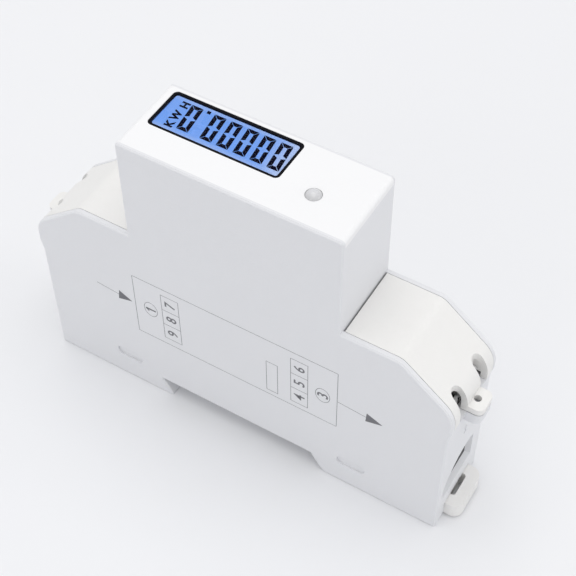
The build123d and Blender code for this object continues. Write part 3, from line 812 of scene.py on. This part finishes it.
@dataclass
class FinishBook:
    """Every finish of the meter by its slot, and the nodes that take another than their slot says."""

    effects: Effects
    built: dict[str, bpy.types.Material] = field(default_factory=dict)
    overrides: dict[str, str] = field(default_factory=lambda: {
        "left_aux_contacts": "dull_tin", "right_aux_contacts": "dull_tin",
    })

    def finishes(self) -> list[Finish]:
        """The finishes, one for each slot of the record and a few for added pieces."""
        low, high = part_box("lcd_panel")
        panel = (tuple((low + high) / 2), tuple((high - low) / 2))
        low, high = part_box("pulse_lamp")
        lamp = (tuple((low + high) / 2), LAMP_RADIUS * MM)
        return [
            Plastic("case_plastic", (0.775, 0.78, 0.80), (0.745, 0.75, 0.77), dust=0.05),
            Plastic(
                "cap_plastic", (0.89, 0.89, 0.895), (0.865, 0.865, 0.87),
                gloss=(0.34, 0.46), strength=0.2,
            ),
            Plastic("cover_plastic", (0.845, 0.837, 0.818), (0.815, 0.808, 0.79), dust=0.05),
            Plastic("clip_plastic", (0.85, 0.842, 0.822), (0.82, 0.812, 0.794), dust=0.05),
            Plastic(
                "black_frame", (0.004, 0.004, 0.006), (0.007, 0.007, 0.010),
                gloss=(0.42, 0.52), strength=0.1, specular=0.04,
            ),
            Plastic("light_guide", (0.85, 0.89, 0.95), (0.80, 0.85, 0.92), gloss=(0.2, 0.3), strength=0.1),
            Plastic("black_moulding", (0.02, 0.02, 0.022), (0.032, 0.032, 0.034), gloss=(0.4, 0.6)),
            Plastic("capacitor_box", (0.60, 0.40, 0.03), (0.50, 0.32, 0.02), gloss=(0.3, 0.42)),
            Plastic(
                "capacitor_sleeve", (0.015, 0.02, 0.07), (0.01, 0.012, 0.05),
                gloss=(0.2, 0.32), strength=0.1,
            ),
            Plastic("varistor_coat", (0.01, 0.07, 0.30), (0.008, 0.05, 0.22), gloss=(0.22, 0.35), coat=0.4),
            Plastic(
                "ferrite", (0.045, 0.045, 0.05), (0.07, 0.07, 0.072),
                grain=5200.0, gloss=(0.6, 0.8), strength=0.6,
            ),
            Plastic("plan_ink", (0.15, 0.152, 0.165), (0.19, 0.192, 0.205), gloss=(0.45, 0.6), specular=0.25),
            Plastic(
                "display_ink", (0.001, 0.001, 0.009), (0.002, 0.002, 0.012),
                gloss=(0.4, 0.5), strength=0.1, specular=0.04,
            ),
            ClearSheet("clear_window", (0.97, 0.98, 1.0)),
            LitGlass("blue_glass", (0.080, 0.190, 0.485), (0.28, 0.34, 0.48), 0.72, *panel),
            Laminate("board_laminate", (0.012, 0.085, 0.03), (0.02, 0.15, 0.05), (0.55, 0.52, 0.40)),
            # lamp lens: its last tone is the painted shade of the dome's rim
            Lens("lamp_lens", (0.68, 0.68, 0.70), (0.61, 0.61, 0.62), (0.56, 0.56, 0.57), *lamp),
            Metal("steel", (0.60, 0.60, 0.61), (0.46, 0.46, 0.45)),
            Metal("plated_steel", (0.72, 0.72, 0.73), (0.58, 0.58, 0.57), lines=7000.0),
            Metal("copper", (0.80, 0.42, 0.27), (0.58, 0.28, 0.17), lines=7000.0),
            Metal("dull_tin", (0.82, 0.82, 0.82), (0.68, 0.68, 0.67), lines=7000.0, metallic=0.2),
            Metal("shunt_alloy", (0.50, 0.38, 0.30), (0.40, 0.30, 0.24), lines=7000.0),
        ]

    def dress(self, record: dict, nodes: dict[str, bpy.types.Object]) -> None:
        """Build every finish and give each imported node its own.

        Args:
            record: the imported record, whose subparts name each node's slot.
            nodes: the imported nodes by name.
        """
        for finish in self.finishes():
            self.built[finish.name] = finish.build(self.effects)
        for subpart in record["subparts"]:
            mesh = nodes[subpart["node"]].data
            mesh.materials.clear()
            chosen = self.overrides.get(subpart["node"], subpart["material_slot"])
            mesh.materials.append(self.built[chosen])
        LOG.info("finishes: %d, dressed nodes: %d", len(self.built), len(record["subparts"]))

    def finish(self, piece: bpy.types.Object, ink: str, slot: str, body: str = "case") -> None:
        """Give an added piece its material and its body.

        Args:
            piece: the added piece.
            ink: name of its finish.
            slot: not used.
            body: the body that carries it.
        """
        piece.data.materials.append(self.built[ink])
        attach(piece, body)
        LOG.info("piece %s rides on %s", piece.name, body)


# ---------------------------------------------------------------- the added pieces


@dataclass
class DisplayFilm:
    """The lit film bonded just below the window's face, with the black border printed on it."""

    depth: float = 0.17
    thickness: float = 0.02
    inset: float = 0.02
    border: float = 0.08
    corner: float = 0.5

    def top(self) -> float:
        """Height of the film's face, in millimetres."""
        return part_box("display_window")[1].z / MM - self.depth

    def build(self, book: FinishBook) -> None:
        """Make the film and its border from the window's own box."""
        low, high = (np.array(corner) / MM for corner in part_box("display_window"))
        size, middle = (high - low)[:2] - 2 * self.inset, (high + low) / 2
        plane = ArtPlane((middle[0], middle[1], self.top()), (1, 0, 0), (0, 1, 0), (0, 0, 1))
        sheet = FlatArt(plane, 0.0, self.thickness)
        outer = rounded_loop(size[0], size[1], self.corner - self.border)
        sheet.filled(outer)
        book.finish(sheet.surface.piece("display_film"), "blue_glass", "blue_glass")
        ring = FlatArt(plane, self.thickness, 0.0)
        inner = rounded_loop(size[0] - 2 * self.border, size[1] - 2 * self.border, self.corner)
        ring.ring(outer, inner)
        book.finish(ring.surface.piece("display_border"), "display_ink", "black_frame")


@dataclass
class DisplayFigures:
    """Six slanted seven-bar zeros, the decimal mark and the unit, on the lit film."""

    first: float = -15.82
    second: float = -10.99
    pitch: float = 3.42
    count: int = 6
    foot: float = -0.17
    digit_width: float = 2.42
    digit_height: float = 6.38
    bar: float = 0.82
    gap: float = 0.06
    lean: float = -0.113
    mark: Point2 = (-12.9, 6.0)
    mark_size: float = 0.72
    unit_size: float = 2.2
    unit_swell: float = 0.045
    unit: tuple[tuple[str, Point2], ...] = (("K", (-17.4, 0.25)), ("W", (-17.55, 2.5)), ("H", (-17.6, 5.45)))
    mitre: float = 0.45
    thickness: float = 0.02

    def bars(self) -> list[np.ndarray]:
        """The six lit bars of a zero, each a mitred loop about the digit's lower left corner."""
        w, h, t, g = self.digit_width, self.digit_height, self.bar, self.gap
        middle, cut = h / 2, t * self.mitre
        top = [(t + g, h - t), (w - t - g, h - t), (w - g, h), (g, h)]
        foot = [(g, 0), (w - g, 0), (w - t - g, t), (t + g, t)]
        upper = [(0, middle + g), (t, middle + g + cut), (t, h - t - g), (0, h - g)]
        lower = [(0, g), (t, t + g), (t, middle - g - cut), (0, middle - g)]
        left = [np.array(upper), np.array(lower)]
        right = [(np.array([w, 0]) + loop * np.array([-1, 1]))[::-1] for loop in left]
        return [np.array(top), np.array(foot), *left, *right]

    def slant(self, loop: np.ndarray) -> np.ndarray:
        """Lean a loop: its first coordinate grows by the lean for each unit of height."""
        return np.stack([loop[:, 0] + self.lean * loop[:, 1], loop[:, 1]], -1)

    def lefts(self) -> list[float]:
        """Left edge of each zero: the first stands apart, the rest are evenly spaced."""
        return [self.first] + [self.second + index * self.pitch for index in range(self.count - 1)]

    def build(self, book: FinishBook) -> None:
        """Make the figures and the unit letters on the film."""
        plane = ArtPlane((0, 0, DisplayFilm().top()), (1, 0, 0), (0, 1, 0), (0, 0, 1))
        art = FlatArt(plane, self.thickness, 0.0)
        for left in self.lefts():
            for loop in self.bars():
                art.filled(self.slant(loop) + np.array([left, self.foot]))
        half = self.mark_size / 2
        square = np.array([(-half, -half), (half, -half), (half, half), (-half, half)])
        art.filled(self.slant(square) + np.array(self.mark))
        book.finish(art.surface.piece("display_figures"), "display_ink", "black_frame")
        letters = FlatArt(plane, self.thickness, 0.0)
        for letter, centre in self.unit:
            letters.words(letter, centre, self.unit_size, QUARTER_TURN, self.unit_swell)
        book.finish(letters.surface.piece("display_unit"), "display_ink", "black_frame")


@dataclass
class TerminalPlan:
    """The terminal plan printed on the near side: border, arrows, rings, boxes and figures."""

    line: float = 0.1
    proud: float = 0.012
    sunk: float = 0.02
    figure: float = 3.35
    bold: float = 0.012
    border: tuple[Point2, Point2] = ((-23.2, 18.5), (22.8, 35.7))
    left_cells: tuple[Point2, Point2] = ((-16.7, 20.4), (-12.65, 33.8))
    right_cells: tuple[Point2, Point2] = ((12.65, 19.95), (16.4, 33.65))
    blank_box: tuple[Point2, Point2] = ((7.2, 19.8), (9.7, 28.95))
    border_corner: float = 0.2
    cell_corner: float = 0.05
    ring_half: Point2 = (1.55, 2.05)
    rings: tuple[tuple[str, Point2], ...] = (("1", (-19.5, 27.4)), ("3", (19.65, 26.6)))
    arrows: tuple[tuple[Point2, Point2, Point2], ...] = (
        ((-32.5, 28.0), (-27.2, 27.45), (-24.0, 27.1)), ((22.8, 26.9), (29.0, 26.4), (32.5, 26.15)),
    )
    arrow_half: float = 1.35
    flag: tuple[Point2, Point2] = ((-1.12, 0.05), (-0.45, -0.62))
    flag_line: float = 0.3

    def cells(self, art: FlatArt, corners: tuple[Point2, Point2], figures: str) -> None:
        """A column of equal cells with one figure in each, from the foot up.

        Args:
            art: where the marks go.
            corners: lower left and upper right corner.
            figures: the figures, lowest first.
        """
        low, high = corners
        art.frame(low, high, self.line, self.cell_corner)
        edges = np.linspace(low[1], high[1], len(figures) + 1)
        for edge in edges[1:-1]:
            art.stroke((low[0], edge), (high[0], edge), self.line)
        middle = (low[0] + high[0]) / 2
        for figure, foot, head in zip(figures, edges[:-1], edges[1:]):
            art.words(figure, (middle, (foot + head) / 2), self.figure, QUARTER_TURN, self.bold)

    def build(self, book: FinishBook) -> None:
        """Make the plan on the near cover's outer face."""
        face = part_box("near_case_cover")[0].y / MM
        art = FlatArt(ArtPlane((0, face, 0), (1, 0, 0), (0, 0, 1), (0, -1, 0)), self.proud, self.sunk)
        art.frame(*self.border, self.line, self.border_corner)
        for start, neck, tip in self.arrows:
            art.arrow(start, neck, tip, self.arrow_half, self.line)
        for figure, centre in self.rings:
            art.oval(centre, self.ring_half, self.line)
            art.words(figure, centre, self.figure, QUARTER_TURN, self.bold)
        one = np.array(self.rings[0][1])
        art.stroke(one + self.flag[0], one + self.flag[1], self.flag_line)
        self.cells(art, self.left_cells, "987")
        self.cells(art, self.right_cells, "456")
        art.frame(*self.blank_box, self.line, self.cell_corner)
        book.finish(art.surface.piece("terminal_plan"), "plan_ink", "black_moulding")


@dataclass
class EntryShadeSheet:
    """A black sheet in each wire entry, back from the end wall, that paints the shade of the deep cavity behind
    it, and the pale bevelled rim before it.
    """

    front: float = 1.05
    back: float = 2.34
    bevel: float = 0.55
    rim_front: float = 0.02
    low: Point2 = (-7.17, 8.43)
    side: float = 5.07
    arch_centre: Point2 = (1.3, 6.6)
    arch_radius: float = 9.57
    hole_centre: Point2 = (-0.2, 12.8)
    hole_radius: float = 3.25
    steps: int = 96
    smooth: float = 30.0

    def rays(self) -> np.ndarray:
        """Unit rays from the hole's centre: evenly turned, and one through each lower corner."""
        angles = [np.arange(self.steps) * 2 * np.pi / self.steps]
        for inset in (0.0, self.bevel):
            for across in (self.low[0] + inset, self.side - inset):
                corner = np.array([across, self.low[1] + inset]) - np.array(self.hole_centre)
                angles.append([np.arctan2(corner[1], corner[0]) % (2 * np.pi)])
        turn = np.sort(np.concatenate(angles))
        return np.stack([np.cos(turn), np.sin(turn)], -1)

    def outline(self, inset: float) -> np.ndarray:
        """The entry's outline moved inwards: where each ray first meets the foot, a side or the arch.

        For the arch that is the larger root of |centre + reach * ray - arch centre| = radius.

        Args:
            inset: how far each edge is moved inwards.

        Returns:
            The loop, counter-clockwise, in millimetres.
        """
        centre, ray = np.array(self.hole_centre), self.rays()
        offset = centre - np.array(self.arch_centre)
        along = ray @ offset
        limits = [-along + np.sqrt(along ** 2 - offset @ offset + (self.arch_radius - inset) ** 2)]
        edges = ((0, self.low[0] + inset), (0, self.side - inset), (1, self.low[1] + inset))
        for axis, value in edges:
            safe = np.where(np.abs(ray[:, axis]) < TINY, TINY, ray[:, axis])
            reach = (value - centre[axis]) / safe
            limits.append(np.where(reach > 0, reach, np.inf))
        return centre + ray * np.min(limits, axis=0)[:, None]

    def build(self, book: FinishBook) -> None:
        """Make both painted-shade sheets and rims, the left ones mirror images of the right ones."""
        hole = np.array(self.hole_centre) + self.rays() * self.hole_radius
        loops = (self.outline(0.0), self.outline(self.bevel), hole)
        turned = tuple((loop * np.array([-1, 1]))[::-1] for loop in loops)
        for side, plane, (outer, inset, wire) in (("load", RIGHT_END, loops), ("line", LEFT_END, turned)):
            # black sheet as painted shade: it stands where the entry shows only the dark of its deep cavity
            art = FlatArt(plane, -self.front, self.back)
            art.ring(outer, wire)
            shade_sheet = art.surface.piece(side + "_entry_painted_shade")
            book.finish(shade_sheet, "black_moulding", "black_moulding")
            profile = ((outer, self.front), (outer, self.rim_front), (inset, self.front))
            surface = Surface()
            surface.loft(np.stack([plane.place(loop, -depth) for loop, depth in profile]), Faces.WRAPPED)
            rim = surface.piece(side + "_entry_rim", self.smooth)
            book.finish(rim, "case_plastic", "case_plastic")


@dataclass
class EntryNumbers:
    """Raised terminal numbers on the end walls, above the wire entries."""

    size: float = 3.0
    proud: float = 0.12
    sunk: float = 0.05
    place: Point2 = (-0.3, 24.0)

    def build(self, book: FinishBook) -> None:
        """Make number 1 on the left end wall and number 3 on the right one."""
        for name, figure, plane in (("load_number", "3", RIGHT_END), ("line_number", "1", LEFT_END)):
            art = FlatArt(plane, self.proud, self.sunk)
            art.words(figure, self.place, self.size, 0.0)
            book.finish(art.surface.piece(name), "case_plastic", "case_plastic")


@dataclass
class ClampScrew:
    """A slotted screw with a rolled thread, in place of its plain solid."""

    node: str
    shank_radius: float = 3.0
    root_share: float = 0.86
    pitch: float = 0.8
    slot_width: float = 1.2
    slot_depth: float = 1.6
    head_share: float = 0.3
    head_edge: float = 0.45
    steps: int = 36
    turn_rows: int = 10
    ridge_width: float = 0.62
    smooth: float = 35.0

    def measure(self) -> tuple[np.ndarray, float, float, float, float]:
        """Read the solid's box.

        Returns:
            The axis place, the head radius, the foot, the head's underside and the top, in millimetres.
        """
        low, high = (np.array(corner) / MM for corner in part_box(self.node))
        middle = (low + high) / 2
        top = high[2]
        return middle[:2], (high[0] - low[0]) / 2, low[2], top - (top - low[2]) * self.head_share, top

    def shank(self, surface: Surface, centre: np.ndarray, foot: float, head: float) -> None:
        """The thread: radius = root + depth * rounded ridge of (height / pitch - turn), faded at both ends.

        Args:
            surface: where the shape goes.
            centre: the axis.
            foot: the lower end.
            head: the head's underside.
        """
        root = self.shank_radius * self.root_share
        rows = int((head - foot) / self.pitch * self.turn_rows) + 2
        height = np.linspace(foot, head, rows)[:, None]
        turn = np.arange(self.steps)[None, :] / self.steps
        phase = (height - foot) / self.pitch - turn
        ridge = np.clip(0.5 + self.ridge_width * np.cos(2 * np.pi * phase), 0, 1)
        fade = np.clip((height - foot) / self.pitch, 0, 1) * np.clip((head - height) / self.pitch, 0, 1)
        reach = root + (self.shank_radius - root) * ridge * fade
        angle = 2 * np.pi * turn
        x = centre[0] + reach * np.cos(angle)
        y = centre[1] + reach * np.sin(angle)
        surface.loft(np.stack([x, y, np.broadcast_to(height, x.shape)], -1) * MM)

    def half_head(
        self, surface: Surface, centre: np.ndarray, radius: float, foot: float, top: float, side: int
    ) -> None:
        """Half of the slotted head: a circle's segment carried up, with its rim broken at the top.

        Args:
            surface: where the shape goes.
            centre: the axis.
            radius: the head's radius.
            foot: the slot's floor.
            top: the head's top.
            side: 1 for the far half, -1 for the near half.
        """
        rows = []
        profile = ((radius, foot), (radius, top - self.head_edge), (radius - self.head_edge, top))
        for reach, height in profile:
            start = math.asin(self.slot_width / 2 / reach)
            turn = np.linspace(start, math.pi - start, self.steps // 2)
            loop = np.stack([reach * np.cos(turn), reach * np.sin(turn)], -1) * side
            rows.append(np.column_stack([loop + centre, np.full(len(loop), height)]))
        surface.loft(np.stack(rows) * MM)

    def build(self, book: FinishBook) -> None:
        """Make the screw and let it stand for its solid, on the body of the same name."""
        centre, radius, foot, head, top = self.measure()
        surface = Surface()
        self.shank(surface, centre, foot, head)
        floor = top - self.slot_depth
        disc = circle_loop(radius, self.steps) + centre
        rows = [np.column_stack([disc, np.full(len(disc), height)]) for height in (head, floor)]
        surface.loft(np.stack(rows) * MM)
        for side in (1, -1):
            self.half_head(surface, centre, radius, floor, top, side)
        piece = surface.piece(self.node + "_threaded", self.smooth)
        book.finish(piece, "steel", "steel", self.node)
        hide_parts(self.node)


@dataclass
class Studio:
    """Pale floor, soft light and the camera of the view from above the near right corner."""

    lens: float = 84.684
    sensor: float = 36.0
    eye: Point3 = (90.0709, -136.6410, 237.1532)
    right: Point3 = (0.85746314, 0.51451254, -0.00581442)
    down: Point3 = (0.39545678, -0.66619569, -0.63229522)
    forward: Point3 = (-0.32919736, 0.53987049, -0.77470572)
    floor_size: float = 6.0
    floor_gap: float = 0.00005
    sky: float = 0.71
    seen_sky: float = 0.92
    sky_tint: Colour = (0.975, 0.98, 1.0)
    floor_tone: Colour = (0.85, 0.855, 0.87)
    fade_near: float = 0.15
    fade_far: float = 0.75
    clip: Point2 = (0.01, 20.0)
    aim: Point3 = (0.0, 0.0, 0.03)
    lamps: tuple[tuple[str, Point3, float, float, Colour], ...] = (
        ("overhead_lamp", (-0.1, 0.03, 1.5), 1.4, 8.8, (1.0, 0.995, 0.98)),
        ("side_lamp", (1.5, 0.35, 0.55), 0.9, 3.1, (1.0, 0.995, 0.98)),
        ("front_lamp", (-0.2, -1.6, 0.8), 1.0, 2.1, (1.0, 0.995, 0.985)),
    )

    @staticmethod
    def hang(name: str, data: bpy.types.ID, columns: tuple) -> bpy.types.Object:
        """Put a camera or lamp in the scene.

        Args:
            name: its name.
            data: the camera or the light.
            columns: its three axes and its place, in metres.

        Returns:
            The object.
        """
        holder = bpy.data.objects.new(name, data)
        holder.matrix_world = Matrix([*np.column_stack(columns).tolist(), [0, 0, 0, 1]])
        bpy.context.scene.collection.objects.link(holder)
        return holder

    def camera(self) -> None:
        """Set the camera by its place and its three axes."""
        data = bpy.data.cameras.new("camera")
        data.lens, data.sensor_width, data.sensor_fit = self.lens, self.sensor, "HORIZONTAL"
        data.clip_start, data.clip_end = self.clip
        up, back, eye = -np.array(self.down), -np.array(self.forward), np.array(self.eye) * MM
        bpy.context.scene.camera = self.hang("camera", data, (self.right, up, back, eye))

    def lamp(self, name: str, place: Point3, size: float, power: float, colour: Colour) -> None:
        """A square soft lamp that looks at the meter.

        Args:
            name: its name.
            place: where it is, in metres.
            size: its side, in metres.
            power: its power, in watts.
            colour: its colour.
        """
        data = bpy.data.lights.new(name, "AREA")
        data.shape, data.size, data.energy, data.color = "SQUARE", size, power, colour
        towards = np.array(self.aim) - np.array(place)
        back = -towards / np.linalg.norm(towards)
        side = np.cross((0.0, 1.0, 0.0), back)
        side /= np.linalg.norm(side)
        self.hang(name, data, (side, np.cross(back, side), back, place))

    def world(self) -> None:
        """Even light from all round, with a brighter backdrop for what looks straight at it."""
        world = bpy.data.worlds.new("studio")
        world.use_nodes = True
        bpy.context.scene.world = world
        tree = NodeTree(world.node_tree)
        path = tree.node("ShaderNodeLightPath").outputs
        seen = tree.maths("MAXIMUM", path["Is Camera Ray"], path["Is Glossy Ray"])
        seen = tree.maths("MAXIMUM", seen, path["Is Transmission Ray"])
        strength = tree.span(seen, self.sky, self.seen_sky)
        light = tree.node("ShaderNodeBackground", {"Color": self.sky_tint, "Strength": strength})
        tree.node("ShaderNodeOutputWorld", {"Surface": light.outputs["Background"]})

    def floor(self, effects: Effects) -> None:
        """A broad flat sheet just below the meter's base."""
        half = self.floor_size / 2
        corners = np.array([(-half, -half), (half, -half), (half, half), (-half, half)])
        surface = Surface()
        surface.add(np.column_stack([corners, np.full(4, -self.floor_gap)]), [[0, 1, 2, 3]])
        sheet = surface.piece("studio_floor")
        backdrop = tuple(self.seen_sky * share for share in self.sky_tint)
        finish = Floor("floor_finish", self.floor_tone, backdrop, self.fade_near, self.fade_far)
        sheet.data.materials.append(finish.build(effects))

    def build(self, effects: Effects) -> None:
        """Set the stage round the meter."""
        bpy.context.scene.view_settings.view_transform = "Standard"
        self.camera()
        self.world()
        self.floor(effects)
        for name, place, size, power, colour in self.lamps:
            self.lamp(name, place, size, power, colour)
        LOG.info("studio set")


def main() -> None:
    """Dress the meter and set the studio."""
    logging.basicConfig(level=logging.INFO, format="%(name)s: %(message)s")
    effects = Effects()
    book = FinishBook(effects)
    book.dress(frame["record"], frame["nodes"])
    DisplayFilm().build(book)
    DisplayFigures().build(book)
    TerminalPlan().build(book)
    EntryNumbers().build(book)
    EntryShadeSheet().build(book)
    for side in ("left", "right"):
        ClampScrew(side + "_terminal_screw").build(book)
    small = dict(
        shank_radius=1.0, pitch=0.4, slot_width=0.5, slot_depth=0.7, head_share=0.226, head_edge=0.15, steps=24
    )
    for number in range(4, 10):
        ClampScrew(f"aux_screw_{number}", **small).build(book)
    Studio().build(effects)


if __name__ == "__main__":
    main()
